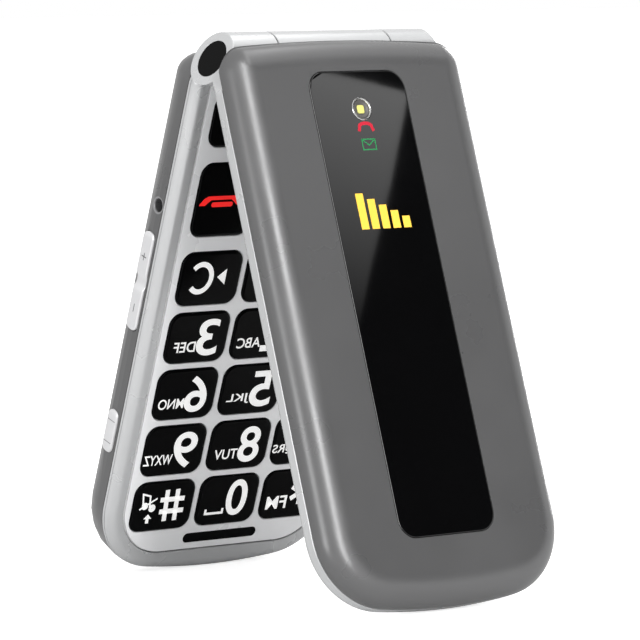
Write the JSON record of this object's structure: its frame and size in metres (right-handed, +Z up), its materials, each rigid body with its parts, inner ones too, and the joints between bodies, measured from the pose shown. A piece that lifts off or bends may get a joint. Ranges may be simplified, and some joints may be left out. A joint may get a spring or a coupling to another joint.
{
  "type": "flip phone",
  "caption": "Folding mobile phone with large push keys on a silver plate, a round hinge barrel and a grey lid with a glossy black panel, standing open like a tent.",
  "frame": {"origin": "on the floor under the middle of the phone as it stands open, centred left to right and front to back", "axes": "+Z up, X along the hinge barrel, the outside of the lid faces -Y and the back of the keypad half faces +Y"},
  "size_m": [0.0559, 0.0838, 0.104],
  "materials": {
    "antenna_gold": "plated",
    "barrel_black": "gloss",
    "battery_wrap": "shrink wrap",
    "board": "solder resist",
    "bumper_rubber": "matte",
    "chrome_ring": "polished",
    "clear_guide": "frosted",
    "copper_film": "film",
    "cover_grey": "satin grey paint",
    "dark_plastic": "moulded",
    "jack_black": "moulded",
    "key_black": "gloss, printed legend",
    "key_silver": "satin silver paint",
    "lamp_lens": "clear",
    "lamp_yellow": "phosphor",
    "panel_black": "mirror gloss",
    "screen_glass": "mirror gloss",
    "shell_grey": "satin grey paint",
    "side_silver": "satin silver paint",
    "silicone": "matte",
    "silver_paint": "satin silver paint",
    "silver_plate": "satin silver paint",
    "steel": "plain"
  },
  "bodies": {
    "base": {"mid_frame": "silver_paint", "rear_housing": "shell_grey", "keypad_plate": "silver_plate", "keymat": "silicone", "dome_sheet": "steel", "main_board": "board", "shield_cans": "steel", "battery": "battery_wrap", "battery_contacts": "dark_plastic", "sim_holder": "steel", "headset_jack": "jack_black", "usb_port": "steel", "side_switches": "dark_plastic", "mic_strip": "barrel_black", "microphone": "steel", "loudspeaker": "dark_plastic", "vibration_motor": "steel", "antenna": "antenna_gold", "base_screws": "steel", "hinge_spindle": "steel", "flex_cable": "copper_film"},
    "lid": {"lid_shell": "shell_grey", "lid_frame": "silver_paint", "panel_glass": "panel_black", "lens_ring": "chrome_ring", "led_lens": "lamp_lens", "flash_led": "lamp_yellow", "indicator_guide": "clear_guide", "display_glass": "screen_glass", "lcd_module": "dark_plastic", "earpiece": "dark_plastic", "lid_board": "board", "hinge_bushes": "steel", "hinge_caps": "barrel_black", "lid_bumpers": "bumper_rubber", "lid_screws": "steel"},
    "battery_cover": {"battery_cover": "cover_grey"},
    "volume_rocker": {"volume_rocker": "side_silver"},
    "side_key": {"side_key": "side_silver"},
    "nav_rocker": {"nav_rocker": "key_black"},
    "soft_left": {"soft_left": "key_black"},
    "soft_right": {"soft_right": "key_black"},
    "end_key": {"end_key": "key_black"},
    "call_key": {"call_key": "key_black"},
    "clear_key": {"clear_key": "key_black"},
    "menu_key": {"menu_key": "key_black"},
    "message_key": {"message_key": "key_black"},
    "key_1": {"key_1": "key_black"},
    "key_2": {"key_2": "key_black"},
    "key_3": {"key_3": "key_black"},
    "key_4": {"key_4": "key_black"},
    "key_5": {"key_5": "key_black"},
    "key_6": {"key_6": "key_black"},
    "key_7": {"key_7": "key_black"},
    "key_8": {"key_8": "key_black"},
    "key_9": {"key_9": "key_black"},
    "key_star": {"key_star": "key_black"},
    "key_0": {"key_0": "key_black"},
    "key_hash": {"key_hash": "key_black"},
    "ok_key": {"ok_key": "key_silver"}
  },
  "joints": [
    {"name": "lid_hinge", "type": "hinge", "parent": "base", "child": "lid", "pos_m": [0, -0.00163, 0.09922], "axis": [-1, 0, 0], "range_deg": [-37.86, 122]},
    {"name": "battery_cover_off", "type": "slide", "parent": "base", "child": "battery_cover", "axis": [0, 0.9454, 0.3259], "range_m": [0, 0.012]},
    {"name": "nav_rock", "type": "hinge", "parent": "base", "child": "nav_rocker", "pos_m": [0, 0.00718, 0.07965], "axis": [1, 0, 0], "range_deg": [-1.5, 1.5], "stiffness_Nm_per_rad": 0.02},
    {"name": "volume_rock", "type": "hinge", "parent": "base", "child": "volume_rocker", "pos_m": [-0.026, 0.01804, 0.05748], "axis": [0, -0.9454, -0.3259], "range_deg": [-1.5, 1.5], "stiffness_Nm_per_rad": 0.02},
    {"name": "side_key_press", "type": "slide", "parent": "base", "child": "side_key", "axis": [1, 0, 0], "range_m": [0, 0.0004], "stiffness_N_per_m": 400},
    {"name": "soft_left_press", "type": "slide", "parent": "base", "child": "soft_left", "axis": [0, 0.9454, 0.3259], "range_m": [0, 0.00035], "stiffness_N_per_m": 400},
    {"name": "soft_right_press", "type": "slide", "parent": "base", "child": "soft_right", "axis": [0, 0.9454, 0.3259], "range_m": [0, 0.00035], "stiffness_N_per_m": 400},
    {"name": "end_key_press", "type": "slide", "parent": "base", "child": "end_key", "axis": [0, 0.9454, 0.3259], "range_m": [0, 0.00035], "stiffness_N_per_m": 400},
    {"name": "call_key_press", "type": "slide", "parent": "base", "child": "call_key", "axis": [0, 0.9454, 0.3259], "range_m": [0, 0.00035], "stiffness_N_per_m": 400},
    {"name": "clear_key_press", "type": "slide", "parent": "base", "child": "clear_key", "axis": [0, 0.9454, 0.3259], "range_m": [0, 0.00035], "stiffness_N_per_m": 400},
    {"name": "menu_key_press", "type": "slide", "parent": "base", "child": "menu_key", "axis": [0, 0.9454, 0.3259], "range_m": [0, 0.00035], "stiffness_N_per_m": 400},
    {"name": "message_key_press", "type": "slide", "parent": "base", "child": "message_key", "axis": [0, 0.9454, 0.3259], "range_m": [0, 0.00035], "stiffness_N_per_m": 400},
    {"name": "key_1_press", "type": "slide", "parent": "base", "child": "key_1", "axis": [0, 0.9454, 0.3259], "range_m": [0, 0.00035], "stiffness_N_per_m": 400},
    {"name": "key_2_press", "type": "slide", "parent": "base", "child": "key_2", "axis": [0, 0.9454, 0.3259], "range_m": [0, 0.00035], "stiffness_N_per_m": 400},
    {"name": "key_3_press", "type": "slide", "parent": "base", "child": "key_3", "axis": [0, 0.9454, 0.3259], "range_m": [0, 0.00035], "stiffness_N_per_m": 400},
    {"name": "key_4_press", "type": "slide", "parent": "base", "child": "key_4", "axis": [0, 0.9454, 0.3259], "range_m": [0, 0.00035], "stiffness_N_per_m": 400},
    {"name": "key_5_press", "type": "slide", "parent": "base", "child": "key_5", "axis": [0, 0.9454, 0.3259], "range_m": [0, 0.00035], "stiffness_N_per_m": 400},
    {"name": "key_6_press", "type": "slide", "parent": "base", "child": "key_6", "axis": [0, 0.9454, 0.3259], "range_m": [0, 0.00035], "stiffness_N_per_m": 400},
    {"name": "key_7_press", "type": "slide", "parent": "base", "child": "key_7", "axis": [0, 0.9454, 0.3259], "range_m": [0, 0.00035], "stiffness_N_per_m": 400},
    {"name": "key_8_press", "type": "slide", "parent": "base", "child": "key_8", "axis": [0, 0.9454, 0.3259], "range_m": [0, 0.00035], "stiffness_N_per_m": 400},
    {"name": "key_9_press", "type": "slide", "parent": "base", "child": "key_9", "axis": [0, 0.9454, 0.3259], "range_m": [0, 0.00035], "stiffness_N_per_m": 400},
    {"name": "key_star_press", "type": "slide", "parent": "base", "child": "key_star", "axis": [0, 0.9454, 0.3259], "range_m": [0, 0.00035], "stiffness_N_per_m": 400},
    {"name": "key_0_press", "type": "slide", "parent": "base", "child": "key_0", "axis": [0, 0.9454, 0.3259], "range_m": [0, 0.00035], "stiffness_N_per_m": 400},
    {"name": "key_hash_press", "type": "slide", "parent": "base", "child": "key_hash", "axis": [0, 0.9454, 0.3259], "range_m": [0, 0.00035], "stiffness_N_per_m": 400},
    {"name": "ok_key_press", "type": "slide", "parent": "base", "child": "ok_key", "axis": [0, 0.9454, 0.3259], "range_m": [0, 0.00035], "stiffness_N_per_m": 400}
  ]
}
